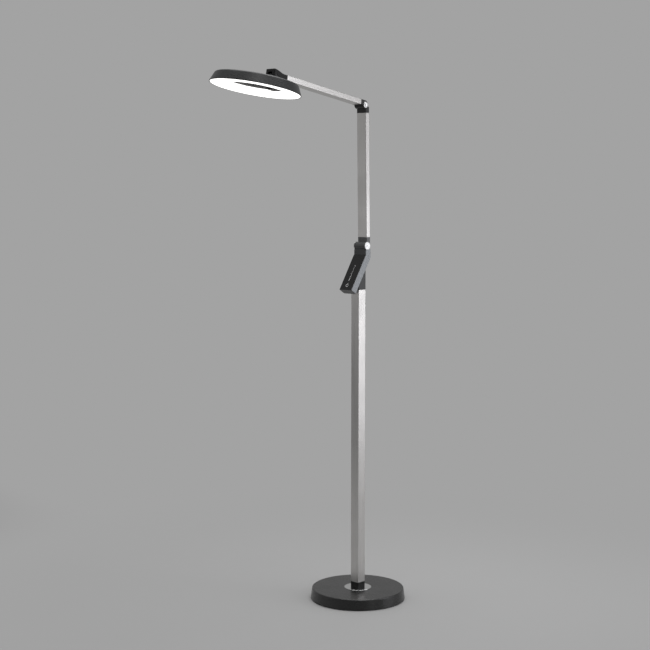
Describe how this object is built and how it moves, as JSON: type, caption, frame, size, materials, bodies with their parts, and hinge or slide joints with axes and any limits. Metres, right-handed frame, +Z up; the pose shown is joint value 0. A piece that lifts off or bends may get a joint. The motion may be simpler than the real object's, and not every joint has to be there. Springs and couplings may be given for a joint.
{
  "type": "ring-head floor reading lamp",
  "caption": "Free-standing reading lamp: weighted round base, square pole, two folding flat arms and a round tilting LED ring head, with a slanted touch control box.",
  "frame": {"origin": "centre of the base's underside, on the floor", "axes": "+Z up along the lower pole; -Y is the front, where the control panel, boom and head point; +X is the right-hand side, along the three hinge axes"},
  "size_m": [0.28, 0.6714, 1.5367],
  "materials": {
    "base_black": "satin black powder coat",
    "cast_iron": "as cast, lacquered",
    "plated_steel": "zinc plated",
    "rubber": "matte",
    "polished_disc": "polished",
    "black_plastic": "fine matte grain",
    "silver_aluminium": "satin anodised, drawn along its length",
    "hinge_black": "matte black paint on zinc casting",
    "silver_grey_paint": "satin silver-grey paint",
    "panel_gloss": "glossy black",
    "mark_print": "grey screen print",
    "grey_plastic": "matte",
    "circuit_board": "green solder mask",
    "electronics": "moulded components",
    "silver_cap": "turned, satin",
    "plain_aluminium": "plain sheet",
    "head_charcoal": "fine-textured charcoal paint",
    "opal_diffuser": "opal acrylic, lit from behind",
    "lead_pvc": "smooth PVC"
  },
  "bodies": {
    "stand": {"base_cover": "base_black", "base_weight": "cast_iron", "base_plate": "plated_steel", "base_pads": "rubber", "base_screws": "plated_steel", "foot_disc": "polished_disc", "pole_socket": "black_plastic", "pole_bolt": "plated_steel", "pole_washer": "plated_steel", "dc_inlet": "black_plastic", "inlet_nut": "plated_steel", "lower_pole": "silver_aluminium", "hinge_casting": "hinge_black", "control_housing": "silver_grey_paint", "touch_panel": "panel_gloss", "touch_marks": "mark_print", "control_end_cap": "grey_plastic", "control_board": "circuit_board", "board_parts": "electronics", "housing_screws": "plated_steel", "mid_caps": "silver_cap", "mid_axle": "plated_steel", "mid_nut": "plated_steel", "mid_washers": "plated_steel", "stand_lead": "lead_pvc"},
    "upper_arm": {"mid_knuckle": "hinge_black", "upper_pole": "silver_aluminium", "elbow_yoke": "hinge_black", "upper_screws": "plated_steel", "upper_lead": "lead_pvc"},
    "boom": {"elbow_fork": "hinge_black", "elbow_axle": "plated_steel", "elbow_nut": "plated_steel", "elbow_caps": "silver_cap", "elbow_washers": "plated_steel", "boom_tube": "silver_aluminium", "boom_screws": "plated_steel", "boom_lead": "lead_pvc", "head_bracket": "hinge_black", "tilt_axle": "hinge_black", "tilt_washers": "plated_steel"},
    "head": {"head_pivot": "hinge_black", "pivot_backplate": "plated_steel", "pivot_screws": "plated_steel", "head_cover": "head_charcoal", "led_tray": "plain_aluminium", "tray_screws": "plated_steel", "led_board": "circuit_board", "led_chips": "electronics", "diffuser": "opal_diffuser", "recess_cover": "black_plastic", "wire_cover": "black_plastic", "terminal_block": "electronics"}
  },
  "joints": [
    {"name": "mid_hinge", "type": "hinge", "parent": "stand", "child": "upper_arm", "pos_m": [0, 0.014, 1.047], "axis": [1, 0, 0], "range_deg": [-30, 60]},
    {"name": "elbow_hinge", "type": "hinge", "parent": "upper_arm", "child": "boom", "pos_m": [0, 0.00983, 1.45249], "axis": [1, 0, 0], "range_deg": [-60, 60]},
    {"name": "head_tilt", "type": "hinge", "parent": "boom", "child": "head", "pos_m": [0, -0.34425, 1.51756], "axis": [1, 0, 0], "range_deg": [-90, 10]}
  ]
}
